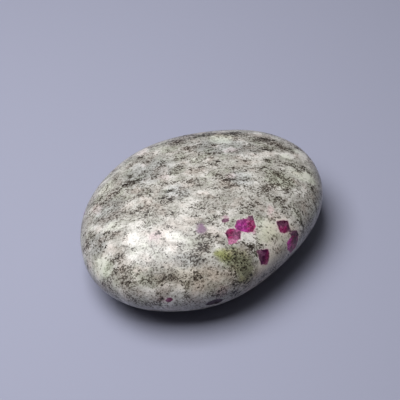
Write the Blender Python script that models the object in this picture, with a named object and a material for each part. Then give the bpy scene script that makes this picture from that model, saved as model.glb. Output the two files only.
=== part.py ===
"""Ruby in albite: a hand-sized polished oval pebble, one solid piece of speckled rock.

Metres, +Z up. The long axis of the oval lies along X. The origin is on the small flat
spot that the pebble rests on, under the middle of its plan.
"""

import math

import bmesh
import bpy
import numpy as np
from mathutils import Matrix, Vector

# Driving dimensions
HALF_LENGTH = 0.0320
HALF_WIDTH = 0.0237
HALF_THICKNESS = 0.0122
REST_DEPTH = 0.00025

# The section is a little fuller than an ellipse, whose power would be 2
SECTION_POWER = 2.2

# The plan swells and flattens by these shares of its radius: number of swells, share, degrees
OUTLINE_SWELLS = ((3, 0.026, -7.0), (4, 0.007, 1.0), (6, 0.0035, 27.0))

# Gentle unevenness left by hand polishing: share of the radius, waves per metre along X, Y
# and Z, phase in degrees
POLISHING_WAVES = (
    (0.0030, (21.0, 33.0, 12.0), 40.0),
    (0.0022, (-38.0, 19.0, 25.0), 115.0),
    (0.0016, (47.0, -52.0, 18.0), 250.0),
)

# A chip knocked out of the front rim: how far round it is, how high its middle is, how far
# it reaches along the rim and up it, and how deep it is
CHIP_DIRECTION_DEGREES = 245.9
CHIP_HEIGHT = 0.0110
CHIP_WIDTH = 0.0042
CHIP_TALLNESS = 0.0023
CHIP_DEPTH = 0.00055

# Facets
AROUND = 88
BOTTOM_TO_TOP = 36

STONE_COLOUR = (0.45, 0.43, 0.40, 1.0)
STONE_ROUGHNESS = 0.28


def plan_radius(angle):
    """Distance from the middle to the rim: an ellipse times one plus its swells."""
    ellipse = 1.0 / np.hypot(np.cos(angle) / HALF_LENGTH, np.sin(angle) / HALF_WIDTH)
    swell = np.ones_like(angle)
    for count, share, turn in OUTLINE_SWELLS:
        swell = swell + share * np.cos(count * (angle - math.radians(turn)))
    return ellipse * swell


def pebble_shape(angle, tilt):
    """Points about the pebble's own middle, at an angle around and a tilt up from the rim.

    Each section is a superellipse: the plan radius shrinks with cos(tilt) and the height
    grows with sin(tilt), both raised to 2 / SECTION_POWER. The polishing waves then move
    a point in or out along the line from the middle.
    """
    power = 2.0 / SECTION_POWER
    out = plan_radius(angle) * np.abs(np.cos(tilt)) ** power
    x = out * np.cos(angle)
    y = out * np.sin(angle)
    z = HALF_THICKNESS * np.sign(np.sin(tilt)) * np.abs(np.sin(tilt)) ** power
    stretch = np.ones_like(x)
    for share, waves, phase in POLISHING_WAVES:
        along = waves[0] * x + waves[1] * y + waves[2] * z
        stretch = stretch + share * np.sin(2.0 * math.pi * along + math.radians(phase))
    return np.stack([x * stretch, y * stretch, z * stretch], axis=-1)


def pebble_points(angle, tilt):
    """The same points, moved so that the middle of the rim's box stands over the origin."""
    rim_angle = np.linspace(0.0, 2.0 * math.pi, 1441)
    rim = pebble_shape(rim_angle, np.zeros_like(rim_angle))
    middle = (rim.max(axis=0) + rim.min(axis=0)) / 2.0
    middle[2] = REST_DEPTH - HALF_THICKNESS
    return pebble_shape(angle, tilt) - middle


def pebble_mesh():
    """Rings of points from the underside to the top, joined by faces, with a point at each end."""
    mesh = bmesh.new()
    angles = np.arange(AROUND) * 2.0 * math.pi / AROUND
    tilts = (np.arange(1, BOTTOM_TO_TOP) / BOTTOM_TO_TOP - 0.5) * math.pi
    rings = []
    for tilt in tilts:
        points = pebble_points(angles, np.full(AROUND, tilt))
        rings.append([mesh.verts.new(point) for point in points])
    ends = pebble_points(np.zeros(2), np.array([-math.pi / 2.0, math.pi / 2.0]))
    bottom = mesh.verts.new(ends[0])
    top = mesh.verts.new(ends[1])
    for lower, upper in zip(rings, rings[1:]):
        for i in range(AROUND):
            j = (i + 1) % AROUND
            mesh.faces.new((lower[i], lower[j], upper[j], upper[i]))
    for i in range(AROUND):
        j = (i + 1) % AROUND
        mesh.faces.new((bottom, rings[0][j], rings[0][i]))
        mesh.faces.new((top, rings[-1][i], rings[-1][j]))
    return mesh


def wear_flat(mesh):
    """Cuts the underside off level at the height it rests on, and closes the cut."""
    everything = mesh.verts[:] + mesh.edges[:] + mesh.faces[:]
    cut = bmesh.ops.bisect_plane(
        mesh,
        geom=everything,
        plane_co=(0.0, 0.0, 0.0),
        plane_no=(0.0, 0.0, -1.0),
        clear_outer=True,
    )
    rim = [part for part in cut["geom_cut"] if isinstance(part, bmesh.types.BMEdge)]
    bmesh.ops.edgeloop_fill(mesh, edges=rim)
    bmesh.ops.recalc_face_normals(mesh, faces=mesh.faces[:])


def stone_material():
    material = bpy.data.materials.new("stone")
    material.use_nodes = True
    shader = material.node_tree.nodes["Principled BSDF"]
    shader.inputs["Base Color"].default_value = STONE_COLOUR
    shader.inputs["Roughness"].default_value = STONE_ROUGHNESS
    shader.inputs["Metallic"].default_value = 0.0
    return material


def make_stone():
    mesh = pebble_mesh()
    wear_flat(mesh)
    data = bpy.data.meshes.new("stone")
    mesh.to_mesh(data)
    mesh.free()
    data.shade_smooth()
    data.materials.append(stone_material())
    stone = bpy.data.objects.new("stone", data)
    bpy.context.scene.collection.objects.link(stone)
    return stone


def make_chip_cutter():
    """A ball, squeezed up and down, whose inner side scoops out the chip.

    A cut of the chip's depth and width through the side of a pebble whose own bend is far
    gentler has a ball of radius width squared over eight depths, and a share more.
    """
    radius = 1.25 * CHIP_WIDTH**2 / (8.0 * CHIP_DEPTH)
    angle = math.radians(CHIP_DIRECTION_DEGREES)
    rise = (CHIP_HEIGHT + REST_DEPTH) / HALF_THICKNESS - 1.0
    tilt = math.asin(-(abs(rise) ** (SECTION_POWER / 2.0)))
    spot, beside, above = pebble_points(
        np.array([angle, angle + 0.01, angle]), np.array([tilt, tilt, tilt + 0.01])
    )
    outward = Vector(np.cross(beside - spot, above - spot)).normalized()
    along = Vector(beside - spot).normalized()
    axes = Matrix((along, outward.cross(along), outward)).transposed().to_4x4()
    middle = Vector(spot) + outward * (radius - CHIP_DEPTH)
    squeeze = Matrix.Diagonal((1.0, CHIP_TALLNESS / CHIP_WIDTH, 1.0, 1.0))
    place = Matrix.Translation(middle) @ axes @ squeeze
    mesh = bmesh.new()
    bmesh.ops.create_icosphere(mesh, subdivisions=4, radius=radius, matrix=place)
    data = bpy.data.meshes.new("chip_cutter")
    mesh.to_mesh(data)
    mesh.free()
    cutter = bpy.data.objects.new("chip_cutter", data)
    cutter.hide_render = True
    cutter.display_type = "WIRE"
    bpy.context.scene.collection.objects.link(cutter)
    return cutter


def main():
    for old in list(bpy.data.objects):
        bpy.data.objects.remove(old, do_unlink=True)
    stone = make_stone()
    chip = stone.modifiers.new("chip", "BOOLEAN")
    chip.operation = "DIFFERENCE"
    chip.solver = "EXACT"
    chip.object = make_chip_cutter()


main()
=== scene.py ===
"""Ruby in albite: the finished surface of a polished oval pebble, with its stage.

The pebble is one piece of rock. Its surface is worked out with numpy from the same
driving dimensions as the solid it stands for, and one procedural material holds the
rock: a mosaic of albite grains in steep layers, pale lenses, streaks and flakes of dark
mica, olive and yellow green patches, and ruby crystals cut flush by the polish. Lengths
in the shape are metres. Lengths in the rock are millimetres, because its grains are a few
tenths of a millimetre wide.
"""

import math
from collections import namedtuple

import bpy
import numpy as np
from mathutils import Matrix, Vector


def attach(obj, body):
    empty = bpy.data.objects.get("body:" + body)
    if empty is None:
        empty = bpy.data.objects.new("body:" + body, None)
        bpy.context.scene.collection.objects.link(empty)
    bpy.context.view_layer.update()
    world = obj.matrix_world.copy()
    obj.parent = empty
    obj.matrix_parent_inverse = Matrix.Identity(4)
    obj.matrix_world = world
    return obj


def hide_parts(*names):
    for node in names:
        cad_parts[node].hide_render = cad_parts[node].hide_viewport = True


bl_info = {
    "name": "Ruby in Albite Pebble",
    "version": (1, 0, 0),
    "blender": (4, 5, 0),
    "location": "3D View > Sidebar > Pebble",
    "description": "Builds a polished pebble of ruby in albite and a plain stage for it",
    "category": "Add Mesh",
}

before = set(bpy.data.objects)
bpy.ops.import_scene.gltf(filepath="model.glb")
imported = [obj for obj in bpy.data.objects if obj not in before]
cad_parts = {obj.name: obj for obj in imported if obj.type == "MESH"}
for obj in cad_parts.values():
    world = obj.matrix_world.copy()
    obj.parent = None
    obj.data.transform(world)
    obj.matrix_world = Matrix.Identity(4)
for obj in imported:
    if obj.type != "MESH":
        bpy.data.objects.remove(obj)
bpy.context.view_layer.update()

MM = 0.001

# The outline's swells: number of swells, share of the radius, degrees
OUTLINE_SWELLS = ((3, 0.026, -7.0), (4, 0.007, 1.0), (6, 0.0035, 27.0))

# Gentle unevenness left by hand polishing: share of the radius, waves per metre, degrees
POLISHING_WAVES = (
    (0.0030, (21.0, 33.0, 12.0), 40.0),
    (0.0022, (-38.0, 19.0, 25.0), 115.0),
    (0.0016, (47.0, -52.0, 18.0), 250.0),
)

# Steps round the rim when its box is measured, and the nudge that a slope is measured over
RIM_STEPS = 1441
SLOPE_NUDGE = 1e-6

# The ball that scoops out the chip is larger than the chip's width and depth alone give,
# because the stone bends away from it
CHIP_BALL_SHARE = 1.25

# How strongly the surface's columns gather near the chip and its rows near the rim, and the
# angle in degrees past which the shading between two faces breaks
COLUMN_GATHERING = 0.6
ROW_GATHERING = 0.25
SHARP_EDGE = 24.0

# The photograph's camera: focal length in pixels, the picture's width and middle, how far
# it looks down, its turn round the stone, its distance, and the floor point it looks at
PICTURE_WIDTH = 400.0
PICTURE_MIDDLE = 200.0
FOCAL_PIXELS = 1150.0
LOOK_DOWN = 51.7
CAMERA_TURN = -31.6
CAMERA_DISTANCE = 0.3026
LOOK_AT = (0.0067, 0.0121, 0.0)
SENSOR_WIDTH = 36.0

# Where the two lights hang: right, away from the camera and up, as it sees the stone
WINDOW_SIDE = (-0.29, -0.03, 0.955)
CEILING_SIDE = (0.05, 0.15, 1.0)

# The plain floor's half size in metres, and its roughness
FLOOR_HALF_SIZE = 2.0
FLOOR_ROUGHNESS = 0.9

# Rays from the camera are followed over this reach either side of what it looks at
RAY_REACH = 0.06
RAY_STEPS = 6001

# The rock's layers stand steeply: they lean this far from level, towards this side
LAYER_LEAN = 60.0
LAYER_SIDE = -112.0

# Where a patch or a crystal shows: a picture pixel on the side that the photograph sees,
# or degrees around and a tilt up from the rim on the sides that it doesn't
Seen = namedtuple("Seen", "x y")
Hidden = namedtuple("Hidden", "around tilt")

# A patch of the rock: half sizes along and across in mm, its turn in the surface counter
# clockwise in degrees, and how strongly it shows
Patch = namedtuple("Patch", "name at along across turn strength")


def seen(name, x, y, along, across, turn, strength):
    """A patch on the side that the photograph sees, at a picture pixel."""
    return Patch(name, Seen(x, y), along, across, turn, strength)


def hidden(name, around, tilt, along, across, turn, strength):
    """A patch on a hidden side, at degrees around and degrees up from the rim."""
    return Patch(name, Hidden(around, tilt), along, across, turn, strength)


# Pale lenses, bands, fields and grains, with painted highlight where the window's reflection lies and
# painted light on the right flank
PALE_PATCHES = (
    seen("cream lens on the left rim", 141, 152, 1.9, 2.0, 30, 0.30),
    seen("lens below it", 138, 165.5, 2.1, 1.3, 22, 0.16),
    seen("lens by the back rim", 160.5, 150, 1.6, 1.8, 20, 0.16),
    seen("yellowish lens at the back", 221, 138.5, 2.9, 2.4, -5, 0.28),
    seen("white chip of the back rim", 258.5, 133.3, 1.1, 1.4, -8, 0.28),
    seen("band behind the top", 230, 149.7, 2.1, 1.0, 12, 0.18),
    seen("white lens on the top", 254, 160, 1.9, 2.4, 0, 0.18),
    seen("its left tail", 242, 156.5, 1.3, 0.9, 0, 0.15),
    seen("white band on the right", 288.5, 155.5, 2.1, 1.3, -12, 0.34),
    seen("its end at the rim", 301.5, 155, 1.9, 2.3, -25, 0.34),
    seen("green white band", 290, 171, 2.5, 0.9, -14, 0.15),
    seen("its end at the right rim", 309, 178.5, 2.8, 1.5, -28, 0.17),
    seen("blue white spot on the left", 171.5, 164.5, 1.3, 1.1, 0, 0.16),
    seen("pink white streak above it", 169, 158.5, 1.7, 0.7, 5, 0.10),
    seen("pale field on the left", 162.5, 174, 1.7, 1.7, 20, 0.14),
    seen("blue white field", 149.5, 182, 1.3, 1.3, 15, 0.12),
    seen("green white lens on the left rim", 106, 187, 2.1, 1.7, 34, 0.14),
    seen("pink white patch on the left rim", 97.5, 209, 1.3, 1.6, 40, 0.12),
    seen("white streak", 173, 195, 1.7, 0.6, -5, 0.15),
    seen("cream field", 193, 191, 1.9, 1.2, 0, 0.14),
    seen("white field behind", 190.5, 161, 2.0, 1.0, 0, 0.15),
    seen("white field before it", 205.5, 174.5, 1.6, 0.9, 8, 0.14),
    seen("pink cream lens", 231.5, 175.5, 1.3, 0.8, 5, 0.17),
    seen("pale field before the top", 214, 191, 2.2, 2.0, 0, 0.10),
    seen("white lens on the left", 94.5, 228, 2.2, 0.9, -3, 0.24),
    seen("cream lens low on the left", 100, 265, 2.5, 1.9, 55, 0.33),
    seen("its lower half", 102.5, 275.5, 2.9, 1.3, 25, 0.25),
    # The next six patches are partly white and cream albite and partly painted highlight. They lift the
    # tone where the window's reflection lies
    seen("white mass with painted highlight", 131, 239, 2.1, 1.8, 15, 0.32),
    seen("painted highlight haze above it", 135, 225, 2.6, 1.4, 10, 0.20),
    seen("cream mass with painted highlight", 172.5, 237, 1.4, 1.4, 0, 0.28),
    seen("its lower field with painted highlight", 170, 250, 2.0, 1.0, 5, 0.21),
    seen("white field with painted highlight", 186, 222, 3.0, 2.0, 0, 0.11),
    seen("painted highlight round the light", 155, 234, 5.2, 2.6, 8, 0.06),
    seen("white patch below the light", 131.5, 257, 1.7, 0.7, 0, 0.19),
    seen("pink cream patch", 141, 269, 1.5, 0.7, 0, 0.12),
    seen("pale grain low down", 154, 289.5, 2.0, 0.9, 0, 0.19),
    seen("green white grain", 167, 285, 1.3, 0.6, 0, 0.13),
    seen("pink white grain", 178, 289.5, 1.6, 0.9, 0, 0.15),
    seen("pale field low on the front", 197, 291, 3.6, 1.2, -3, 0.10),
    seen("white by the small ruby", 180, 299, 1.5, 0.9, -5, 0.14),
    seen("white left of the rubies", 217, 228, 2.4, 1.5, 0, 0.18),
    seen("yellow white above the rubies", 226, 212.5, 2.6, 1.1, 5, 0.18),
    seen("white below the main ruby", 247, 238, 2.2, 1.2, 0, 0.26),
    seen("pink white lens on the right", 270, 209, 1.2, 1.7, 0, 0.17),
    seen("green white field of the rubies", 266, 229, 2.3, 2.4, 0, 0.18),
    seen("white left of the right ruby", 272.5, 227.5, 1.2, 1.6, 0, 0.08),
    seen("cream between the right rubies", 282.5, 240.5, 1.6, 1.8, 20, 0.12),
    # Partly paler albite and partly painted light: it brightens the right flank, which the lamps leave
    # darker
    seen("pale field with painted light on the right", 289, 230, 6.0, 4.8, -25, 0.18),
    seen("pale field below the green patch", 219, 274.5, 3.4, 1.8, 0, 0.10),
    seen("clear yellow grain", 228.5, 253.6, 1.2, 0.5, -8, 0.15),
    seen("pale patch low on the right", 259, 268.5, 2.6, 1.2, 10, 0.25),
    seen("pale field by the lower rubies", 277, 251, 3.2, 3.0, 30, 0.15),
    hidden("lens behind the right end", 24, 14, 3.6, 1.5, 4, 0.24),
    hidden("lens on the back", 68, 6, 4.2, 1.3, -5, 0.22),
    hidden("lens low on the back", 106, -20, 3.4, 1.4, 6, 0.22),
    hidden("lens on the left end", 164, -8, 3.0, 1.6, -8, 0.20),
    hidden("field underneath", 190, -62, 4.5, 3.2, 25, 0.20),
    hidden("second field underneath", 330, -55, 5.2, 2.6, -15, 0.22),
    hidden("third field underneath", 75, -66, 3.0, 2.4, 40, 0.19),
)

# Dark streaks, fields, rims, speckles and lone grains, with painted shade over the upper left, the back
# and the low right rim
DARK_PATCHES = (
    # The next three patches are painted shade, darkening the upper left and the back of the stone
    seen("grey painted shade high on the left", 140, 179, 5.5, 3.5, 22, 0.31),
    seen("grey painted shade on the left", 110, 212, 3.5, 3.0, 35, 0.25),
    seen("grey painted shade at the back", 202, 153, 7.0, 3.5, 5, 0.20),
    # These two patches are partly dark grains of the rim and partly painted shade that darkens the back
    # rim
    seen("back rim, grey rock and painted shade", 208, 135, 8.0, 1.6, 2, 1.0),
    seen("back rim on the right, grey rock and painted shade", 277, 144, 5.0, 1.6, -22, 0.9),
    seen("grey spot of the top", 238, 180, 3.6, 2.2, -10, 0.55),
    seen("grey spot left of the middle", 178, 193, 2.6, 2.2, 0, 0.55),
    seen("grey spot high on the left", 123, 185, 2.6, 1.6, 28, 0.25),
    seen("grey spot low on the left", 100, 246, 2.0, 1.5, 60, 0.35),
    seen("grey spot below the light", 194, 259.5, 3.4, 1.5, -5, 0.85),
    seen("grey spot low down", 173, 276, 2.4, 1.2, 0, 0.35),
    # Painted shade, darkening the right of the top
    seen("grey painted shade right of the top", 272, 186, 6.0, 4.0, -15, 0.17),
    # Painted shade: it darkens the low right rim, which lies over the dark shadow on the floor
    seen("grey painted shade on the low right rim", 274, 268, 5.5, 1.2, 40, 0.12),
    seen("edge of the cream lens", 139.5, 158, 2.0, 0.6, 32, 0.8),
    seen("black grains at the back", 176, 141.5, 2.4, 1.6, 15, 1.0),
    seen("grey knot", 179.5, 168, 1.0, 1.3, 0, 0.6),
    seen("left streak, low end", 98, 201, 1.9, 0.7, 42, 1.2),
    seen("left streak, middle", 119, 189.5, 2.6, 0.8, 28, 0.9),
    seen("left streak, high end", 137, 180, 2.3, 0.9, 28, 0.6),
    seen("lone black grain", 169.5, 191, 0.6, 0.35, -10, 3.0),
    seen("streak above the light", 166.5, 199.5, 2.8, 0.5, -6, 1.0),
    seen("dark rim at the back", 237.5, 133.5, 3.0, 1.1, -3, 0.9),
    seen("dark rim on the right of it", 261, 141, 3.0, 1.6, -10, 0.8),
    seen("dark band at the back", 268, 148.5, 1.7, 1.5, -10, 0.9),
    seen("right band, first knot", 269.5, 161.5, 1.3, 0.7, -15, 1.3),
    seen("right band, middle", 289, 164.5, 2.0, 0.6, -12, 1.3),
    seen("right band, end", 306, 170.5, 1.9, 0.9, -28, 1.3),
    seen("grey green field", 282.5, 180.5, 3.4, 1.8, -12, 0.45),
    seen("streak before the top", 216.5, 174, 1.5, 0.8, 0, 0.8),
    seen("short streak", 205.5, 164.5, 1.7, 0.6, 25, 0.9),
    seen("black grain on the top", 217.3, 161.3, 0.7, 0.45, 10, 3.0),
    seen("thin streak", 231, 179.8, 1.7, 0.3, 0, 1.1),
    seen("middle streak, high end", 250, 189.5, 2.3, 0.8, -28, 0.8),
    seen("middle streak, low end", 255.5, 200.5, 1.7, 0.55, -32, 0.9),
    seen("dark zone on the left", 90, 245.5, 2.8, 0.9, 10, 0.6),
    seen("chain low on the left", 117, 265, 1.4, 2.3, 0, 0.38),
    seen("grain on the left", 104.5, 233, 0.4, 0.5, 0, 3.0),
    seen("second grain on the left", 106, 246, 0.45, 0.4, 0, 3.0),
    seen("green grey streak low down", 144.5, 283, 1.4, 0.6, -5, 0.9),
    seen("grey grains in the light", 131.5, 248.5, 1.1, 0.6, 0, 0.7),
    seen("grains in the pink patch", 157.5, 234, 0.6, 0.5, -20, 1.3),
    seen("grains left of the green patch", 206.5, 247, 0.9, 0.7, 0, 1.0),
    seen("line left of the green patch", 209, 252, 1.1, 0.25, -5, 1.6),
    seen("grain left of the rubies", 216.5, 235.7, 0.4, 0.33, 0, 3.0),
    seen("grain above the right ruby", 278.6, 216.2, 0.55, 0.4, 20, 3.0),
    seen("grain above the green patch", 252, 246.8, 0.4, 0.4, 0, 2.5),
    seen("grain below the pale field", 274.5, 247.7, 0.45, 0.4, 0, 2.5),
    seen("speckle between the rubies", 278, 248.5, 2.4, 1.4, 0, 0.55),
    seen("speckle on the right", 299, 218, 3.1, 2.0, -25, 0.5),
    seen("dark grains of the right rim", 313, 196, 1.4, 2.4, 15, 0.5),
    seen("reddish speckle", 222.5, 292, 1.5, 1.5, 0, 0.8),
    seen("speckle below the light", 150, 274, 9.0, 1.8, 0, 0.20),
    seen("speckle in the olive patch", 237, 261, 3.8, 2.5, -25, 0.70),
    seen("grain left of the front ruby", 163.3, 299.5, 0.35, 0.3, 0, 3.0),
    seen("grain right of the front ruby", 171.6, 299.2, 0.3, 0.3, 0, 3.0),
    hidden("streak behind the right end", 38, 0, 4.0, 0.8, 3, 0.9),
    hidden("streak on the back", 88, 16, 4.5, 0.8, -4, 0.9),
    hidden("streak low on the back", 128, -6, 4.0, 0.9, 5, 0.8),
    hidden("streak low on the right end", 345, -16, 3.6, 0.8, 8, 0.9),
    hidden("knot underneath", 250, -58, 3.0, 1.6, 30, 0.6),
    hidden("second knot underneath", 30, -60, 2.6, 1.4, -20, 0.6),
)

# Patches of a tint, with the colour that they multiply the rock by
Tint = namedtuple("Tint", "name colour patches")

OLIVE = Tint(
    "olive tint",
    (0.62, 0.65, 0.49),
    (
        seen("olive patch", 237, 260, 4.2, 2.9, -25, 1.0),
        seen("its low end", 245.5, 273, 2.4, 2.3, 10, 0.9),
        seen("its left end", 221, 256, 1.8, 1.3, -10, 0.9),
        seen("its clear yellow spot", 228, 253.4, 1.3, 0.55, -8, -1.0),
        hidden("olive patch on the back", 118, 12, 2.6, 1.6, 10, 0.8),
    ),
)
YELLOW_GREEN = Tint(
    "yellow green tint",
    (0.96, 0.95, 0.62),
    (
        seen("yellow green spot", 224.5, 254, 2.3, 1.4, -5, 1.0),
        seen("yellow green low end", 244, 280.5, 2.2, 0.8, -10, 0.6),
        hidden("yellow green spot on the back", 113, 16, 1.2, 0.8, 10, 0.9),
    ),
)
PALE_GREEN = Tint(
    "pale green tint",
    (0.955, 1.0, 0.91),
    (
        seen("tint of the lens at the back", 221, 138, 3.2, 2.7, -5, 0.9),
        seen("tint of the low left lens", 101, 268, 3.0, 3.0, 50, 0.8),
        seen("tint of the ruby field", 266, 230, 2.8, 3.0, 0, 0.6),
        seen("tint of the right band", 303, 176, 4.2, 1.7, -22, 0.8),
        seen("tint of the grey field", 281, 180, 3.8, 2.4, -12, 1.0),
        seen("tint of the left rim", 106, 187.5, 2.4, 2.0, 32, 0.7),
        seen("tint of the low streak", 150, 282, 3.4, 1.4, 0, 0.7),
    ),
)
PINK_WHITE = Tint(
    "pink tint",
    (1.0, 0.86, 0.89),
    (
        seen("pink patch in the light", 154, 237, 2.0, 1.8, 0, 0.4),
        seen("pink of the cream lens", 140, 153, 1.6, 1.4, 30, 0.35),
        seen("pink of the left field", 164.5, 178.5, 1.2, 1.3, 0, 0.5),
        seen("pink of the left rim", 97.5, 209, 1.4, 1.8, 40, 0.5),
        seen("pink of the low patch", 141, 269, 1.8, 0.9, 0, 0.5),
        seen("pink of the front lens", 231.5, 175.5, 1.4, 1.0, 5, 0.6),
        seen("pink of the back band", 232, 150, 2.0, 1.0, 10, 0.5),
        seen("pink of the right lens", 270.5, 211, 0.7, 1.3, 0, 1.0),
        seen("pink of the reddish speckle", 222.5, 292, 1.6, 1.7, 0, 1.0),
        seen("pink by the front ruby", 163, 300, 1.4, 0.8, 0, 0.9),
    ),
)
RUBY_STAIN = Tint(
    "ruby stain",
    (0.85, 0.54, 0.71),
    (
        seen("stain below the main ruby", 254, 232.5, 0.6, 0.8, 0, 0.8),
        seen("stain beside the horn", 247, 218, 0.7, 0.4, 0, 0.6),
        seen("stain below the second ruby", 235.5, 241.5, 0.9, 0.45, -10, 0.7),
        seen("stain above the small ruby", 225, 217.2, 1.0, 0.4, 10, 0.8),
        seen("stain below the long ruby", 291.5, 252, 0.5, 0.4, 30, 0.8),
        seen("stain left of the right ruby", 276.8, 229.5, 0.3, 0.6, 0, 0.5),
        seen("stain in the light", 155, 236.5, 1.4, 1.3, 0, 0.36),
    ),
)
# A warm tint of the rock, and on the low right rim a warm painted shade
WARM_TINT_AND_RIM_SHADE = Tint(
    "warm tint and rim shade",
    (1.0, 0.938, 0.845),
    (
        seen("warm field low on the front", 205, 281, 9.0, 3.2, -5, 0.80),
        seen("warm field low on the left", 128, 278, 4.0, 3.0, 20, 0.30),
        seen("warm field on the right", 282, 240, 6.5, 5.0, -20, 0.75),
        # Painted shade: a warm darkening of the low right rim that cancels the floor's bluish reflection
        # there
        seen("warm painted shade on the low right rim", 264, 273, 7.5, 3.4, 38, 1.3),
        hidden("warm field underneath", 280, -50, 9.0, 5.0, 20, 0.6),
    ),
)
# A cool grey tint that darkens: partly cool rock, and over the upper left and the back painted shade
COOL_TINT_AND_SHADE = Tint(
    "cool tint and painted shade",
    (0.80, 0.832, 0.870),
    (
        seen("cool field left of the middle", 176, 192, 3.2, 2.4, 0, 0.8),
        seen("cool painted shade high on the left", 148, 171, 6.5, 4.5, 22, 0.9),
        seen("cool painted shade on the left", 108, 212, 4.5, 3.2, 38, 0.8),
        seen("cool field low on the left", 96, 245, 3.0, 2.6, 60, 0.8),
        seen("cool painted shade at the back", 222, 146, 8.5, 3.4, -2, 0.9),
        seen("cool field of the top", 240, 178, 3.0, 2.4, -10, 0.9),
        seen("cool field below the light", 188, 261, 4.0, 1.8, -5, 0.8),
        hidden("cool field on the back", 95, 0, 9.0, 4.5, 5, 0.9),
        hidden("cool field underneath", 160, -60, 8.0, 5.0, 30, 0.9),
    ),
)
TINTS = (OLIVE, YELLOW_GREEN, PALE_GREEN, PINK_WHITE, RUBY_STAIN, WARM_TINT_AND_RIM_SHADE, COOL_TINT_AND_SHADE)

# A ruby cut by the polish: its corners as picture pixels, the two ends of its change of
# colour as picture pixels, and which of the ruby colours each end has
Crystal = namedtuple("Crystal", "name corners start end first second halo")

CRYSTALS = (
    Crystal(
        "main ruby",
        ((235.2, 226.4), (237.4, 220.7), (245.5, 219.2), (253.3, 219.7), (255.3, 226.4),
         (252.6, 231.4), (247.8, 232.2), (237.0, 229.8)),
        (242.5, 226.0), (252.0, 226.0), "violet", "crimson", 1.0,
    ),
    Crystal(
        "horn of the main ruby",
        ((247.6, 219.8), (248.6, 216.2), (252.4, 215.9), (253.6, 219.9)),
        (250.0, 220.5), (250.5, 216.5), "mauve", "dusk", 0.5,
    ),
    Crystal(
        "tail of the second ruby",
        ((227.8, 237.2), (238.5, 239.0), (233.9, 243.2), (229.0, 243.9)),
        (229.0, 241.0), (236.0, 241.0), "pink", "pink", 0.5,
    ),
    Crystal(
        "second ruby",
        ((225.6, 233.4), (228.4, 229.5), (233.5, 229.0), (240.5, 231.6), (240.0, 239.0),
         (234.5, 238.8), (227.4, 237.5)),
        (229.5, 233.0), (235.5, 234.0), "crimson", "mauve", 1.0,
    ),
    Crystal(
        "dark side of the second ruby",
        ((225.5, 233.6), (227.2, 231.0), (228.0, 233.5), (227.6, 237.0)),
        (226.0, 236.0), (227.5, 232.0), "plum", "rose", 0.5,
    ),
    Crystal(
        "right ruby",
        ((276.9, 221.9), (282.8, 220.6), (287.5, 221.2), (288.5, 228.0), (287.6, 231.6),
         (284.5, 232.9), (280.4, 231.8), (278.6, 227.4)),
        (282.2, 224.4), (283.0, 227.4), "maroon", "rose", 1.0,
    ),
    Crystal(
        "dark side of the right ruby",
        ((286.6, 222.0), (287.8, 222.4), (290.2, 231.2), (288.2, 231.6), (287.2, 227.4)),
        (287.6, 225.0), (289.6, 231.0), "maroon", "dusk", 0.3,
    ),
    Crystal(
        "cap of the long ruby",
        ((290.6, 233.6), (292.8, 230.8), (296.8, 231.2), (298.4, 234.8), (296.4, 236.4),
         (291.4, 236.0)),
        (292.5, 231.6), (296.6, 235.6), "dusk", "maroon", 0.6,
    ),
    Crystal(
        "long ruby",
        ((291.6, 236.4), (297.7, 236.2), (297.6, 240.8), (295.2, 247.8), (290.8, 252.2),
         (287.8, 249.2), (287.3, 243.0)),
        (288.0, 244.0), (292.6, 243.0), "magenta", "crimson", 1.0,
    ),
    Crystal(
        "dark side of the long ruby",
        ((294.6, 237.0), (297.7, 237.2), (297.4, 241.6), (294.9, 247.0), (293.4, 243.0)),
        (293.8, 241.0), (296.4, 242.0), "maroon", "rose", 0.5,
    ),
    Crystal(
        "dark ruby",
        ((258.2, 253.4), (260.8, 250.6), (267.6, 249.4), (268.9, 254.0), (268.5, 259.6),
         (267.0, 264.0), (261.4, 264.2), (259.6, 259.0)),
        (263.5, 256.6), (268.2, 258.4), "plum", "rose", 1.0,
    ),
    Crystal(
        "cloudy corner of the dark ruby",
        ((257.3, 251.4), (261.4, 249.4), (262.6, 252.6), (259.2, 255.6)),
        (258.5, 252.0), (262.0, 254.0), "dusk", "plum", 0.6,
    ),
    Crystal(
        "small ruby",
        ((221.8, 220.6), (223.4, 218.9), (228.6, 218.9), (228.4, 221.2), (222.6, 222.2)),
        (222.0, 221.0), (228.0, 220.0), "dusk", "dusk", 0.6,
    ),
    Crystal(
        "ruby low on the front",
        ((166.0, 300.0), (168.0, 297.9), (171.4, 298.0), (172.6, 300.0), (169.8, 302.0),
         (167.0, 301.6)),
        (167.5, 300.0), (171.5, 300.0), "mauve", "rose", 0.5,
    ),
)

# A ruby on the sides that the photograph doesn't show: six-sided, half sizes in mm
HiddenCrystal = namedtuple("HiddenCrystal", "name at long wide turn first second halo")

HIDDEN_CRYSTALS = (
    HiddenCrystal("ruby on the right end", Hidden(2.0, -4.0), 1.9, 1.3, 25, "crimson", "violet", 1.0),
    HiddenCrystal("ruby on the back", Hidden(62.0, -14.0), 2.2, 1.4, -15, "violet", "crimson", 1.0),
    HiddenCrystal("small ruby on the back", Hidden(71.0, -8.0), 0.9, 0.7, 40, "maroon", "plum", 0.8),
    HiddenCrystal("ruby on the left end", Hidden(150.0, 8.0), 1.4, 0.9, 10, "rose", "violet", 0.8),
    HiddenCrystal("ruby underneath", Hidden(318.0, -52.0), 2.1, 1.6, 70, "maroon", "crimson", 1.0),
    HiddenCrystal("second ruby underneath", Hidden(306.0, -46.0), 1.2, 0.9, 20, "violet", "plum", 0.9),
    HiddenCrystal("third ruby underneath", Hidden(120.0, -50.0), 1.5, 1.1, -35, "crimson", "maroon", 0.9),
)

# A faint lilac crystal that lies just under the surface
LILAC = seen("lilac crystal", 201.8, 229.2, 1.2, 1.3, 0, 0.9)

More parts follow.
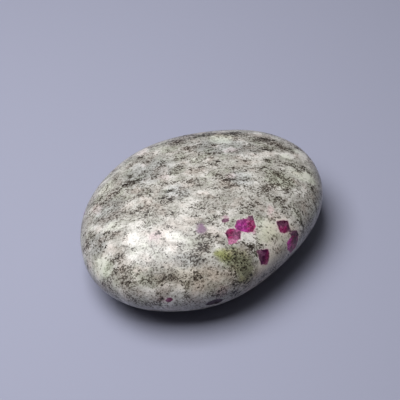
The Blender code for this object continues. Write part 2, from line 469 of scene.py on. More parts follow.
# In mm: how deep a crystal reaches to each side of the surface, how far it is grown past
# its corners, how soft its edge is and how far its halo spreads
CRYSTAL_DEPTH = 2.0
CRYSTAL_GROWTH = 0.12
CRYSTAL_EDGE = 0.12
HALO_REACH = 0.9

# Further inside than any crystal reaches, in mm: where the search for the largest of its
# faces' distances starts
FAR_INSIDE = -9.0

# A hidden crystal: where its corners are around it in degrees, and the share of its half
# length at which its change of colour starts and ends
HIDDEN_CORNERS = (12.0, 68.0, 125.0, 185.0, 250.0, 305.0)
HIDDEN_COLOUR_LINE = 0.6

# A patch's cover is whole out to its core and nothing past its edge, as shares of its half
# sizes. Its half size into the rock is the mean of the other two
PATCH_CORE = 0.55
PATCH_EDGE = 1.4

# The grains of the rock in mm, and how much thinner they are across the layers
COARSE_GRAIN = 0.62
FINE_GRAIN = 0.30
GRAIN_FLATNESS = 1.3
FLAKE = 0.50
FLAKE_FLATNESS = 1.9

# What moves a place to and fro: the size of its noise in mm, and its reach in mm, which is
# given twice along the layers and once across them
BROAD_FOLDS = (13.0, (5.0, 5.0, 0.8))
TIGHT_FOLDS = (4.0, (1.8, 1.8, 0.7))
FRAYED_EDGES = (1.6, (2.6, 2.6, 1.6))
RAGGED_EDGES = (0.5, (0.45, 0.45, 0.45))
BENT_FACETS = (0.6, (0.5, 0.5, 0.5))

# Sizes of the noise in mm, and how much thinner it is across the layers
LENS = 5.0
LENS_FLATNESS = 1.8
STREAK = 3.2
WISP = 4.5
STREAK_FLATNESS = 2.8
MOTTLE = 1.2
HUE_LAYER = 4.5
FACET = 0.75
FLAW = 0.40
RIPPLE = 1.1
PIT = 0.25

# Tone of the rock between its lenses and streaks, and how far those change it
BASE_TONE = 0.685
LENS_STRENGTH = 0.30
LENS_WHITENESS = 0.14
STREAK_STRENGTH = 0.46
PALE_STRENGTH = 0.85

# How far the grains, the mica, the dark patches and the rubies' halos change it. A fine
# grain is lifted, less a drop times a power of a random number, so only a few are dark
COARSE_STEP = 0.12
FINE_LIFT = 0.075
FINE_DROP = 0.30
FINE_POWER = 3.0
DARK_DROP = 0.05
FLAKE_DROP = 0.30
SMALL_FLAKE_DROP = 0.32
HALO_LIFT = 0.22

# How much more mica a dark patch has, and the share of that crowd that large flakes have
DARK_CROWD = 0.36
FLAKE_SHARE = 0.60

# How a field turns into a share: the two values that it fades between, and what it gives at
# each of them where that isn't nothing and one
MOTTLE_FADE = (0.35, 0.65, 0.55, 1.30)
WHITE_LENS_FADE = (0.55, 0.72, 0.0, LENS_WHITENESS)
GREYNESS_FADE = (0.95, 0.66, 0.55, 1.0)
CROWD_FADE = (0.50, 0.65, 0.03, 0.50)
CLEAR_FADE = (0.06, 0.26, 1.0, 0.30)
WARM_FADE = (0.50, 0.68)
COOL_FADE = (0.47, 0.30)
FRINGE_FADE = (0.5, 1.0)
MILK_FADE = (0.55, 1.0, 0.0, 0.30)
FLAW_FADE = (0.3, 0.7, 0.45, 1.55)
FACET_FADE = (0.0, 1.0, 0.60, 1.35)
MICA_FADE = (0.45, 0.2)

# The tone at which the rock has each of its colours
TONES = {"mica": 0.12, "smoke": 0.34, "grey": 0.54, "cream": 0.74, "albite": 0.95}

# What the warm layers, the cool layers and the rubies' fringes multiply the rock by
WARM_LAYER = (1.0, 0.945, 0.93)
COOL_LAYER = (0.955, 0.99, 0.935)
RUBY_FRINGE = (0.90, 0.72, 0.82)

# How strongly polished rock bends light, and the roughness that the chip adds
ROCK_IOR = 1.44
CHIP_ROUGHNESS = 0.35

# The relief of the polish: its depth in mm, its strength and the share of the pits in it
RELIEF = 0.02
RELIEF_STRENGTH = 0.35
PIT_SHARE = 0.25

# The mesh attribute that marks the chip
CHIP_ATTRIBUTE = "chip"

VECTOR_SOCKET = "NodeSocketVector"
NUMBER_SOCKET = "NodeSocketFloat"
COLOUR_SOCKET = "NodeSocketColor"

# Nodes stand in columns of this many, this far apart across and down
NODES_IN_COLUMN = 12
NODE_GAP = (220.0, 180.0)


def length(name, description, default, smallest=0.0):
    return bpy.props.FloatProperty(
        name=name,
        description=description,
        default=default,
        min=smallest,
        subtype="DISTANCE",
        unit="LENGTH",
    )


def share(name, description, default):
    return bpy.props.FloatProperty(
        name=name, description=description, default=default, min=0.0, max=1.0, subtype="FACTOR"
    )


def colour(name, description, default):
    return bpy.props.FloatVectorProperty(
        name=name, description=description, default=default, min=0.0, max=1.0, subtype="COLOR"
    )


def steps(name, description, default):
    return bpy.props.IntProperty(name=name, description=description, default=default, min=12)


def power(name, description, default):
    return bpy.props.FloatProperty(
        name=name, description=description, default=default, min=0.0, unit="POWER"
    )


class PebbleShape(bpy.types.PropertyGroup):
    half_length: length("Half length", "From the middle to the rim along X", 0.0320, 0.005)
    half_width: length("Half width", "From the middle to the rim along Y", 0.0237, 0.005)
    half_thickness: length("Half thickness", "From the middle to the top", 0.0122, 0.002)
    rest_depth: length("Rest depth", "How much of the underside is worn flat", 0.00025)
    section_power: bpy.props.FloatProperty(
        name="Section power",
        description="Fullness of the section: 2 is an ellipse, and more is squarer",
        default=2.2,
        min=1.5,
        max=4.0,
    )
    columns: steps("Columns", "Steps of the surface around the rim", 440)
    rows: steps("Rows", "Steps of the surface from the underside to the top", 204)
    chip_height: length("Chip height", "Height of the chip's middle on the rim", 0.0110)
    chip_width: length("Chip width", "How far the chip reaches along the rim", 0.0042, 0.001)
    chip_tallness: length("Chip tallness", "How far the chip reaches up the rim", 0.0023, 0.001)
    chip_depth: length("Chip depth", "Depth of the chip in the front rim", 0.00055, 0.0002)
    chip_side: bpy.props.FloatProperty(
        name="Chip side",
        description="Where the chip is around the rim",
        default=math.radians(245.9),
        subtype="ANGLE",
        unit="ROTATION",
    )


class PebbleColours(bpy.types.PropertyGroup):
    albite: colour("Albite", "White albite of the pale lenses", (0.642, 0.620, 0.588))
    cream: colour("Pale grey albite", "Pale albite between the lenses", (0.396, 0.382, 0.350))
    grey: colour("Grey albite", "Grey albite with fine mica in it", (0.207, 0.192, 0.168))
    smoke: colour("Dark grey albite", "Albite full of fine mica", (0.080, 0.066, 0.054))
    mica: colour("Mica", "Dark mica flakes", (0.016, 0.010, 0.007))
    magenta: colour("Magenta ruby", "Brightest of the ruby colours", (0.48, 0.04, 0.31))
    crimson: colour("Crimson ruby", "Red end of the ruby colours", (0.225, 0.010, 0.079))
    violet: colour("Violet ruby", "Violet end of the ruby colours", (0.285, 0.030, 0.19))
    rose: colour("Rose ruby", "Pale red of thin and small rubies", (0.185, 0.018, 0.075))
    mauve: colour("Mauve ruby", "Pale violet of a ruby's cloudy side", (0.20, 0.052, 0.12))
    pink: colour("Pink ruby", "Pink of the rubies' thin tails", (0.34, 0.12, 0.215))
    maroon: colour("Maroon ruby", "Dark red of thick rubies", (0.058, 0.004, 0.026))
    plum: colour("Plum ruby", "Dark purple of thick rubies", (0.050, 0.006, 0.034))
    dusk: colour("Dusky ruby", "Grey lilac of a ruby's cloudy end", (0.12, 0.055, 0.088))
    milk: colour("Milky ruby", "Cloudy facets inside the rubies", (0.375, 0.165, 0.27))
    lilac: colour("Lilac", "A crystal seen through a thin skin of albite", (0.19, 0.105, 0.18))
    # The chip's colour is a dark purple painted shade on the unpolished rock of the break
    chip_shade: colour("Chip shade", "Painted shade on the unpolished rock in the chip", (0.22, 0.15, 0.24))
    polish: share("Polish roughness", "Roughness of the polish on clean albite", 0.28)
    dullness: share("Mica roughness", "Roughness added where mica crosses the polish", 0.18)


class PebbleStage(bpy.types.PropertyGroup):
    floor: colour("Floor", "Colour of the plain floor", (0.30, 0.309, 0.405))
    window_power: power("Window power", "Power of the large soft light overhead", 1.74)
    window_width: length("Window width", "Width of the soft light", 0.225, 0.05)
    window_height: length("Window height", "Height of the soft light", 0.216, 0.05)
    window_distance: length("Window distance", "From the stone to the soft light", 0.36, 0.2)
    ceiling_power: power("Ceiling power", "Power of the wide, faint light overhead", 1.1)
    ceiling_size: length("Ceiling size", "Width of the faint light", 1.4, 0.1)
    ceiling_distance: length("Ceiling distance", "From the stone to the faint light", 0.9, 0.2)
    room_light: bpy.props.FloatProperty(
        name="Room light",
        description="Strength of the even light from all round",
        default=0.02,
        min=0.0,
    )


def plan_radius(angle, shape):
    """Distance from the middle to the rim: an ellipse times one plus its swells.

    The ellipse is 1 / sqrt((cos a / half length)^2 + (sin a / half width)^2), and each
    swell adds its share times cos(count (a - turn)).
    """
    ellipse = 1.0 / np.hypot(np.cos(angle) / shape.half_length, np.sin(angle) / shape.half_width)
    swell = np.ones_like(angle)
    for count, size, turn in OUTLINE_SWELLS:
        swell = swell + size * np.cos(count * (angle - math.radians(turn)))
    return ellipse * swell


def polish_stretch(points):
    """One plus the sum of share * sin(2 pi (waves . point) + phase) over the polishing waves."""
    stretch = np.ones(points.shape[:-1])
    for size, waves, phase in POLISHING_WAVES:
        stretch = stretch + size * np.sin(2.0 * math.pi * (points @ waves) + math.radians(phase))
    return stretch


def pebble_shape(angle, tilt, shape):
    """Points about the pebble's own middle, at an angle around and a tilt up from the rim.

    Out from the middle: plan radius times cos(tilt)^(2/power). Up: half thickness times
    sin(tilt)^(2/power), with its sign. Both are then stretched from the middle by the
    polishing waves.
    """
    bend = 2.0 / shape.section_power
    out = plan_radius(angle, shape) * np.abs(np.cos(tilt)) ** bend
    rise = shape.half_thickness * np.sign(np.sin(tilt)) * np.abs(np.sin(tilt)) ** bend
    points = np.stack([out * np.cos(angle), out * np.sin(angle), rise], axis=-1)
    return points * polish_stretch(points)[..., None]


def pebble_middle(shape):
    """The point of the pebble's shape that stands over the origin, at the floor's height."""
    rim_angle = np.linspace(0.0, 2.0 * math.pi, RIM_STEPS)
    rim = pebble_shape(rim_angle, np.zeros_like(rim_angle), shape)
    middle = (rim.max(axis=0) + rim.min(axis=0)) / 2.0
    middle[2] = shape.rest_depth - shape.half_thickness
    return middle


def pebble_points(angle, tilt, shape):
    """The same points, moved so that the middle of the rim's box stands over the origin."""
    return pebble_shape(angle, tilt, shape) - pebble_middle(shape)


def outside(points, shape):
    """Above zero outside the pebble and below zero inside it.

    With the polishing waves divided out, it is (distance out / plan radius)^power plus
    (height / half thickness)^power, less one.
    """
    local = points + pebble_middle(shape)
    local = local / polish_stretch(local)[..., None]
    across = np.hypot(local[..., 0], local[..., 1])
    radius = plan_radius(np.arctan2(local[..., 1], local[..., 0]), shape)
    rise = np.abs(local[..., 2]) / shape.half_thickness
    return (across / radius) ** shape.section_power + rise**shape.section_power - 1.0


def facing_out(point, shape):
    """The direction straight out of the surface at a point: the slope of outside()."""
    nudges = np.eye(3) * SLOPE_NUDGE
    slope = outside(point + nudges, shape) - outside(point - nudges, shape)
    return slope / np.linalg.norm(slope)


def camera_axes():
    """The camera's place and its forward, right and up directions, as numpy vectors."""
    down = math.radians(LOOK_DOWN)
    turn = math.radians(CAMERA_TURN)
    forward = np.array(
        [-math.sin(turn) * math.cos(down), math.cos(turn) * math.cos(down), -math.sin(down)]
    )
    right = np.array([math.cos(turn), math.sin(turn), 0.0])
    up = np.cross(right, forward)
    place = np.array(LOOK_AT) - forward * CAMERA_DISTANCE
    return place, forward, right, up


def seen_point(x, y, shape):
    """Where the line of sight through a picture pixel meets the pebble, and that line."""
    place, forward, right, up = camera_axes()
    sight = forward * FOCAL_PIXELS + right * (x - PICTURE_MIDDLE) + up * (PICTURE_MIDDLE - y)
    sight = sight / np.linalg.norm(sight)
    reach = np.linspace(CAMERA_DISTANCE - RAY_REACH, CAMERA_DISTANCE + RAY_REACH, RAY_STEPS)
    depth = outside(place + reach[:, None] * sight, shape)
    first = int(np.argmax(depth < 0.0))
    if first == 0:
        raise ValueError(f"pixel {x}, {y} isn't on the stone")
    share_in = depth[first - 1] / (depth[first - 1] - depth[first])
    hit = reach[first - 1] + share_in * (reach[first] - reach[first - 1])
    return place + hit * sight, sight


def surface_axes(at, turn, shape):
    """A point of the surface and its along, across and outward directions.

    Along is the direction that lies in the surface and is seen at the turn's angle in the
    picture, or on a hidden side the level direction turned by it. Across is square to it.
    """
    angle = math.radians(turn)
    if isinstance(at, Seen):
        point, sight = seen_point(at.x, at.y, shape)
        out = facing_out(point, shape)
        _, _, right, up = camera_axes()
        wanted = math.cos(angle) * right + math.sin(angle) * up
        along = wanted - sight * (wanted @ out) / (sight @ out)
    else:
        around = np.array([math.radians(at.around)])
        point = pebble_points(around, np.array([math.radians(at.tilt)]), shape)[0]
        out = facing_out(point, shape)
        level = np.cross([0.0, 0.0, 1.0], out)
        level = level / np.linalg.norm(level)
        along = math.cos(angle) * level + math.sin(angle) * np.cross(out, level)
    along = along / np.linalg.norm(along)
    return point, along, np.cross(out, along), out


def chip_ball(shape):
    """The middle and the three squeezed axes of the ball that scoops out the chip.

    The ball's radius comes from the chip's width and depth. Each axis is divided by the
    ball's half size along it, so the ball is where all three together are shorter than one.
    """
    radius = CHIP_BALL_SHARE * shape.chip_width**2 / (8.0 * shape.chip_depth)
    rise = (shape.chip_height + shape.rest_depth) / shape.half_thickness - 1.0
    tilt = math.asin(-(abs(rise) ** (shape.section_power / 2.0)))
    spot = pebble_points(np.array([shape.chip_side]), np.array([tilt]), shape)[0]
    out = facing_out(spot, shape)
    along = np.cross([0.0, 0.0, 1.0], out)
    along = along / np.linalg.norm(along)
    up = np.cross(out, along) * shape.chip_width / shape.chip_tallness
    return spot + out * (radius - shape.chip_depth), np.stack([along, up, out]) / radius


def scooped(points, shape):
    """Points moved in to the chip ball's inner side, and how far each of them moved.

    A point inside the ball at p moves to p - s d, where d points from the pebble's middle
    to p. On the ball's axes, s is the larger root of |p - s d|^2 = 1.
    """
    middle, axes = chip_ball(shape)
    away = points - np.array([0.0, 0.0, shape.half_thickness])
    away = away / np.linalg.norm(away, axis=-1, keepdims=True)
    place = (points - middle) @ axes.T
    way = away @ axes.T
    square = np.sum(way**2, axis=-1)
    half = np.sum(place * way, axis=-1)
    excess = np.sum(place**2, axis=-1) - 1.0
    back = (half + np.sqrt(np.maximum(half**2 - square * excess, 0.0))) / square
    moved = np.where(excess < 0.0, back, 0.0)
    return points - moved[..., None] * away, moved


def build_mesh(name, points, faces):
    mesh = bpy.data.meshes.new(name)
    mesh.from_pydata(points, [], faces)
    mesh.update()
    return mesh


def link(name, data):
    made = bpy.data.objects.new(name, data)
    bpy.context.scene.collection.objects.link(made)
    return made


def stone_mesh(shape):
    """The pebble's surface on a grid of angle by tilt, closed by a fan at each end.

    Columns gather near the chip: the angle is s - COLUMN_GATHERING sin(s) about the chip's
    side, for even steps of s. Rows gather near the rim: the tilt is s - ROW_GATHERING
    sin(2 s). The attribute CHIP_ATTRIBUTE is one inside the chip and nothing elsewhere.
    """
    columns = shape.columns
    rows = shape.rows
    step = np.arange(columns) * 2.0 * math.pi / columns
    around = shape.chip_side + step - COLUMN_GATHERING * np.sin(step)
    step = (np.arange(1, rows) / rows - 0.5) * math.pi
    tilts = step - ROW_GATHERING * np.sin(2.0 * step)
    angle, tilt = np.meshgrid(around, tilts)
    grid = pebble_points(angle, tilt, shape).reshape(-1, 3)
    ends = pebble_points(np.zeros(2), np.array([-math.pi / 2.0, math.pi / 2.0]), shape)
    points, moved = scooped(np.vstack([grid, ends]), shape)
    points[:, 2] = np.maximum(points[:, 2], 0.0)
    first = np.arange(columns)
    after = (first + 1) % columns
    row = np.arange(rows - 2)[:, None] * columns
    quads = np.stack([row + first, row + after, row + columns + after, row + columns + first], axis=-1)
    last = (rows - 2) * columns
    bottom = np.stack([np.full(columns, len(grid)), after, first], axis=-1)
    top = np.stack([np.full(columns, len(grid) + 1), last + first, last + after], axis=-1)
    faces = quads.reshape(-1, 4).tolist() + bottom.tolist() + top.tolist()
    mesh = build_mesh("polished_stone", points, faces)
    mesh.shade_smooth()
    mesh.set_sharp_from_angle(angle=math.radians(SHARP_EDGE))
    chip = mesh.attributes.new(CHIP_ATTRIBUTE, "FLOAT", "POINT")
    chip.data.foreach_set("value", (moved > 0.0).astype(np.float32))
    return mesh


class RockNodes:
    """Adds shader nodes to one tree and joins them. Each method returns a new output."""

    def __init__(self, tree):
        self.tree = tree
        self.count = 0

    def add(self, kind, label="", **settings):
        node = self.tree.nodes.new(kind)
        node.label = label
        column, row = divmod(self.count, NODES_IN_COLUMN)
        node.location = (NODE_GAP[0] * column, -NODE_GAP[1] * row)
        self.count += 1
        for name, value in settings.items():
            setattr(node, name, value)
        return node

    def put(self, socket, value):
        if isinstance(value, bpy.types.NodeSocket):
            self.tree.links.new(value, socket)
        elif value is not None:
            socket.default_value = value

    def math(self, operation, *values, label=""):
        node = self.add("ShaderNodeMath", label, operation=operation)
        for socket, value in zip(node.inputs, values):
            self.put(socket, value)
        return node.outputs["Value"]

    def vector(self, operation, *values, label=""):
        node = self.add("ShaderNodeVectorMath", label, operation=operation)
        for socket, value in zip(node.inputs, values):
            self.put(socket, value)
        return node.outputs["Value" if operation == "DOT_PRODUCT" else "Vector"]

    def fade(self, value, low, high, to_low=0.0, to_high=1.0, smooth=True, label=""):
        """A step from to_low, where the value is low, to to_high, where it is high."""
        kind = "SMOOTHSTEP" if smooth else "LINEAR"
        node = self.add("ShaderNodeMapRange", label, interpolation_type=kind)
        settings = {
            "Value": value, "From Min": low, "From Max": high, "To Min": to_low, "To Max": to_high
        }
        for name, each in settings.items():
            self.put(node.inputs[name], each)
        return node.outputs["Result"]

    def noise(self, vector, size, detail=2.0, rough=0.5, label=""):
        node = self.add("ShaderNodeTexNoise", label)
        self.put(node.inputs["Vector"], vector)
        node.inputs["Scale"].default_value = 1.0 / size
        node.inputs["Detail"].default_value = detail
        node.inputs["Roughness"].default_value = rough
        return node.outputs["Fac"]

    def drift(self, vector, size, reach, detail=1.0, label=""):
        """The vector moved by noise of a size in mm, by up to about half the reach each way."""
        noise = self.noise(vector, size, detail, label=label).node
        away = self.vector("SUBTRACT", noise.outputs["Color"], (0.5, 0.5, 0.5))
        return self.vector("MULTIPLY_ADD", away, reach, vector)

    def cells(self, vector, size, label=""):
        node = self.add("ShaderNodeTexVoronoi", label, feature="F1")
        self.put(node.inputs["Vector"], vector)
        node.inputs["Scale"].default_value = 1.0 / size
        return node

    def parts(self, vector):
        node = self.add("ShaderNodeSeparateXYZ")
        self.put(node.inputs[0], vector)
        return node.outputs

    def blend(self, factor, first, second, kind="MIX", label=""):
        node = self.add("ShaderNodeMix", label, data_type="RGBA", blend_type=kind)
        wanted = {"Factor_Float": factor, "A_Color": first, "B_Color": second}
        for socket in node.inputs:
            value = wanted.get(socket.identifier)
            if isinstance(value, tuple):
                value = (*value, 1.0)
            self.put(socket, value)
        return next(each for each in node.outputs if each.identifier == "Result_Color")

    def ramp(self, value, stops, label=""):
        node = self.add("ShaderNodeValToRGB", label)
        self.put(node.inputs["Fac"], value)
        elements = node.color_ramp.elements
        while len(elements) < len(stops):
            elements.new(0.5)
        for element, (place, shade) in zip(elements, stops):
            element.position = place
            element.color = (*shade, 1.0)
        return node.outputs["Color"]

    def ball(self, vector, middle, axes, sizes, label=""):
        """One at the middle, falling evenly to nothing on a ball squeezed to the sizes."""
        node = self.add("ShaderNodeMapping", label, vector_type="TEXTURE")
        self.put(node.inputs["Vector"], vector)
        node.inputs["Location"].default_value = middle
        node.inputs["Rotation"].default_value = Matrix(axes).transposed().to_euler()
        node.inputs["Scale"].default_value = sizes
        gradient = self.add("ShaderNodeTexGradient", gradient_type="SPHERICAL")
        self.put(gradient.inputs["Vector"], node.outputs["Vector"])
        return gradient.outputs["Fac"]

    def group(self, tree, *values):
        """A node that holds a group, with its inputs in order. Returns the group's outputs."""
        node = self.add("ShaderNodeGroup", tree.name, node_tree=tree)
        for socket, value in zip(node.inputs, values):
            self.put(socket, value)
        return node.outputs


def new_group(name, inputs, outputs):
    """An empty node group with its sockets, a maker of nodes for it, and its two ends."""
    tree = bpy.data.node_groups.new(name, "ShaderNodeTree")
    for way, sockets in (("INPUT", inputs), ("OUTPUT", outputs)):
        for title, kind in sockets.items():
            tree.interface.new_socket(title, in_out=way, socket_type=kind)
    nodes = RockNodes(tree)
    return tree, nodes, nodes.add("NodeGroupInput"), nodes.add("NodeGroupOutput")


def layer_turn():
    """The rotation from the stone's axes to the rock's, whose third axis crosses the layers."""
    lean = math.radians(LAYER_LEAN)
    side = math.radians(LAYER_SIDE)
    level = math.sin(lean)
    across = Vector((level * math.cos(side), level * math.sin(side), math.cos(lean)))
    second = across.cross(Vector((1.0, 0.0, 0.0))).normalized()
    return Matrix((second.cross(across), second, across))


def patch_group(name, patches, shape):
    """A group that takes a place in the rock and gives the sum of the patches' covers.

    A patch is a ball squeezed to its half sizes. Its cover is its strength near the middle
    and fades to nothing from PATCH_CORE to PATCH_EDGE half sizes out.
    """
    tree, nodes, start, end = new_group(name, {"Place": VECTOR_SOCKET}, {"Cover": NUMBER_SOCKET})
    turn = layer_turn()
    total = 0.0
    for patch in patches:
        point, *axes = surface_axes(patch.at, patch.turn, shape)
        depth = (patch.along + patch.across) / 2.0
        sizes = [each * PATCH_EDGE for each in (patch.along, patch.across, depth)]
        axes = [turn @ Vector(each) for each in axes]
        near = nodes.ball(start.outputs["Place"], turn @ Vector(point / MM), axes, sizes, patch.name)
        cover = nodes.fade(near, 0.0, 1.0 - PATCH_CORE / PATCH_EDGE, 0.0, patch.strength)
        total = nodes.math("ADD", cover, total)
    nodes.put(end.inputs["Cover"], total)
    return tree


def crystal_corners(crystal, shape):
    """A crystal's corner points on the surface in metres, and the outward direction there."""
    if isinstance(crystal, HiddenCrystal):
        point, along, across, out = surface_axes(crystal.at, crystal.turn, shape)
        turns = np.radians(HIDDEN_CORNERS)[:, None]
        along = np.cos(turns) * along * crystal.long
        across = np.sin(turns) * across * crystal.wide
        return point + (along + across) * MM, out
    corners = np.array([seen_point(x, y, shape)[0] for x, y in crystal.corners])
    return corners, facing_out(corners.mean(axis=0), shape)


def crystal_colour_line(crystal, shape):
    """The two ends of a crystal's change of colour, in metres."""
    if isinstance(crystal, HiddenCrystal):
        point, along, _, _ = surface_axes(crystal.at, crystal.turn, shape)
        reach = along * crystal.long * HIDDEN_COLOUR_LINE * MM
        return point - reach, point + reach
    return tuple(seen_point(*pixel, shape)[0] for pixel in (crystal.start, crystal.end))


def crystal_faces(crystal, shape):
    """The crystal's faces, each as its outward direction and a point on it.

    They stand square to the surface on the lines between its corners, and two more close
    it above and below.
    """
    corners, out = crystal_corners(crystal, shape)
    middle = corners.mean(axis=0)
    reach = out * CRYSTAL_DEPTH * MM
    faces = [(out, middle + reach), (-out, middle - reach)]
    for here, there in zip(corners, np.roll(corners, -1, axis=0)):
        side = np.cross(there - here, out)
        side = side / np.linalg.norm(side)
        faces.append((side * np.sign(side @ (here - middle)), here))
    return faces


def ruby_group(shape, colours):
    """A group that takes a place in the rock and gives the rubies: cover, colour and halo.

    How far a place is outside a crystal is the largest distance past any of its faces. The
    cover steps up where that crosses nothing, and the halo fades out over HALO_REACH.
    """
    tree, nodes, start, end = new_group(
        "rubies",
        {"Place": VECTOR_SOCKET},
        {"Cover": NUMBER_SOCKET, "Colour": COLOUR_SOCKET, "Halo": NUMBER_SOCKET},
    )
    turn = layer_turn()
    place = start.outputs["Place"]
    all_cover = 0.0
    all_halo = 0.0
    all_colour = tuple(colours.crimson)
    for crystal in CRYSTALS + HIDDEN_CRYSTALS:
        outside_by = FAR_INSIDE
        for side, point in crystal_faces(crystal, shape):
            way = nodes.vector("DOT_PRODUCT", place, turn @ Vector(side))
            past = nodes.math("SUBTRACT", way, float(side @ point) / MM)
            outside_by = nodes.math("MAXIMUM", past, outside_by)
        begin, finish = (turn @ Vector(each / MM) for each in crystal_colour_line(crystal, shape))
        line = (finish - begin) / (finish - begin).length_squared
        way = nodes.vector("DOT_PRODUCT", place, line)
        mixing = nodes.fade(way, begin @ line, begin @ line + 1.0)
        ends = [tuple(getattr(colours, each)) for each in (crystal.first, crystal.second)]
        gem = nodes.blend(mixing, *ends)
        edge = (CRYSTAL_GROWTH + CRYSTAL_EDGE, CRYSTAL_GROWTH - CRYSTAL_EDGE)
        cover = nodes.fade(outside_by, *edge, label=crystal.name)
        rim = nodes.fade(outside_by, HALO_REACH, 0.0, 0.0, crystal.halo)
        all_colour = nodes.blend(cover, all_colour, gem)
        all_cover = nodes.math("MAXIMUM", cover, all_cover)
        all_halo = nodes.math("MAXIMUM", rim, all_halo)
    nodes.put(end.inputs["Cover"], all_cover)
    nodes.put(end.inputs["Colour"], all_colour)
    nodes.put(end.inputs["Halo"], all_halo)
    return tree


# The place in the rock's own axes in mm, the middle of the fine grain there, and three random
# numbers of each of the flake, the coarse grain and the fine grain there
Grains = namedtuple("Grains", "place fine_middle flake coarse fine")


def rock_grains(nodes):
    """The rock's grains at every place, as Grains.

    Each is a Voronoi cell, flattened along the layers, with three random numbers. A fine
    grain's middle is the same all over it, so a field that reads it gives the whole grain
    one value.
    """
    source = nodes.add("ShaderNodeTexCoord").outputs["Object"]
    mapping = nodes.add("ShaderNodeMapping", "millimetres along the layers", vector_type="POINT")
    nodes.put(mapping.inputs["Vector"], source)
    mapping.inputs["Scale"].default_value = (1.0 / MM, 1.0 / MM, 1.0 / MM)
    mapping.inputs["Rotation"].default_value = layer_turn().to_euler()
    place = mapping.outputs["Vector"]
    flat = nodes.vector("MULTIPLY", place, (1.0, 1.0, FLAKE_FLATNESS))
    flakes = nodes.cells(flat, FLAKE, "mica flakes")
    flat = nodes.vector("MULTIPLY", place, (1.0, 1.0, GRAIN_FLATNESS))
    coarse = nodes.cells(flat, COARSE_GRAIN, "coarse grains")
    fine = nodes.cells(flat, FINE_GRAIN, "fine grains")
    middle = nodes.vector("DIVIDE", fine.outputs["Position"], (1.0, 1.0, GRAIN_FLATNESS))
    random = [nodes.parts(each.outputs["Color"]) for each in (flakes, coarse, fine)]
    return Grains(place, middle, *random)


def rock_layers(nodes, grains):
    """The place along the gently folded layers, and the lenses, streaks and wisps there."""
    folded = nodes.drift(grains.fine_middle, *BROAD_FOLDS, label="broad folds")
    folded = nodes.drift(folded, *TIGHT_FOLDS, label="tight folds")
    layered = nodes.vector("MULTIPLY", folded, (1.0, 1.0, LENS_FLATNESS))
    thin = nodes.vector("MULTIPLY", folded, (1.0, 1.0, STREAK_FLATNESS))
    lens = nodes.noise(layered, LENS, 1.5, label="lenses")
    streak = nodes.noise(thin, STREAK, 3.0, 0.6, label="streaks")
    wisp = nodes.noise(thin, WISP, 2.5, 0.55, label="wisps of mica")
    return layered, lens, streak, wisp


def patch_cover(nodes, name, patches, place, shape):
    return nodes.group(patch_group(name, patches, shape), place)[0]


def placed_patches(nodes, grains, shape):
    """A place that frays the patches' edges, and the pale and dark patches' covers there."""
    frayed = nodes.drift(grains.fine_middle, *FRAYED_EDGES, 2.5, "frayed edges")
    pale = patch_cover(nodes, "pale patches", PALE_PATCHES, frayed, shape)
    dark = patch_cover(nodes, "dark patches", DARK_PATCHES, frayed, shape)
    mottle = nodes.noise(grains.fine_middle, MOTTLE, 2.0, 0.6, label="mottled lenses")
    pale = nodes.math("MULTIPLY", pale, nodes.fade(mottle, *MOTTLE_FADE))
    return frayed, pale, dark


def rock_tone(nodes, grains, layers, pale, dark):
    """The rock's tone, from black at nothing to white at one.

    Lenses, streaks and pale patches move the base tone, and each grain moves it by a step of
    its own. Mica, which takes it down, is picked at random, with most of it in the wisps and
    the dark patches and little of it in the pale ones.
    """
    lens, streak, wisp = layers
    tone = nodes.math("MULTIPLY_ADD", lens, LENS_STRENGTH, BASE_TONE - LENS_STRENGTH / 2.0)
    streaked = nodes.math("SUBTRACT", tone, STREAK_STRENGTH / 2.0)
    tone = nodes.math("MULTIPLY_ADD", streak, STREAK_STRENGTH, streaked)
    pale = nodes.math("ADD", pale, nodes.fade(lens, *WHITE_LENS_FADE))
    tone = nodes.math("MULTIPLY_ADD", pale, PALE_STRENGTH, tone)
    greyness = nodes.fade(tone, *GREYNESS_FADE, smooth=False)
    coarse_step = nodes.math("MULTIPLY_ADD", grains.coarse[0], COARSE_STEP, -COARSE_STEP / 2.0)
    fine_step = nodes.math("POWER", grains.fine[0], FINE_POWER)
    fine_step = nodes.math("MULTIPLY_ADD", fine_step, -FINE_DROP, FINE_LIFT)
    speckle = nodes.math("MULTIPLY", nodes.math("ADD", coarse_step, fine_step), greyness)

    crowd = nodes.fade(wisp, *CROWD_FADE, smooth=False)
    crowd = nodes.math("MULTIPLY_ADD", dark, DARK_CROWD, crowd)
    crowd = nodes.math("MULTIPLY", crowd, nodes.fade(pale, *CLEAR_FADE))
    flake = nodes.math("LESS_THAN", grains.flake[0], nodes.math("MULTIPLY", crowd, FLAKE_SHARE))
    small_flake = nodes.math("LESS_THAN", grains.fine[1], crowd)
    tone = nodes.math("ADD", tone, speckle)
    tone = nodes.math("MULTIPLY_ADD", dark, -DARK_DROP, tone)
    tone = nodes.math("MULTIPLY_ADD", flake, -FLAKE_DROP, tone)
    return nodes.math("MULTIPLY_ADD", small_flake, -SMALL_FLAKE_DROP, tone)


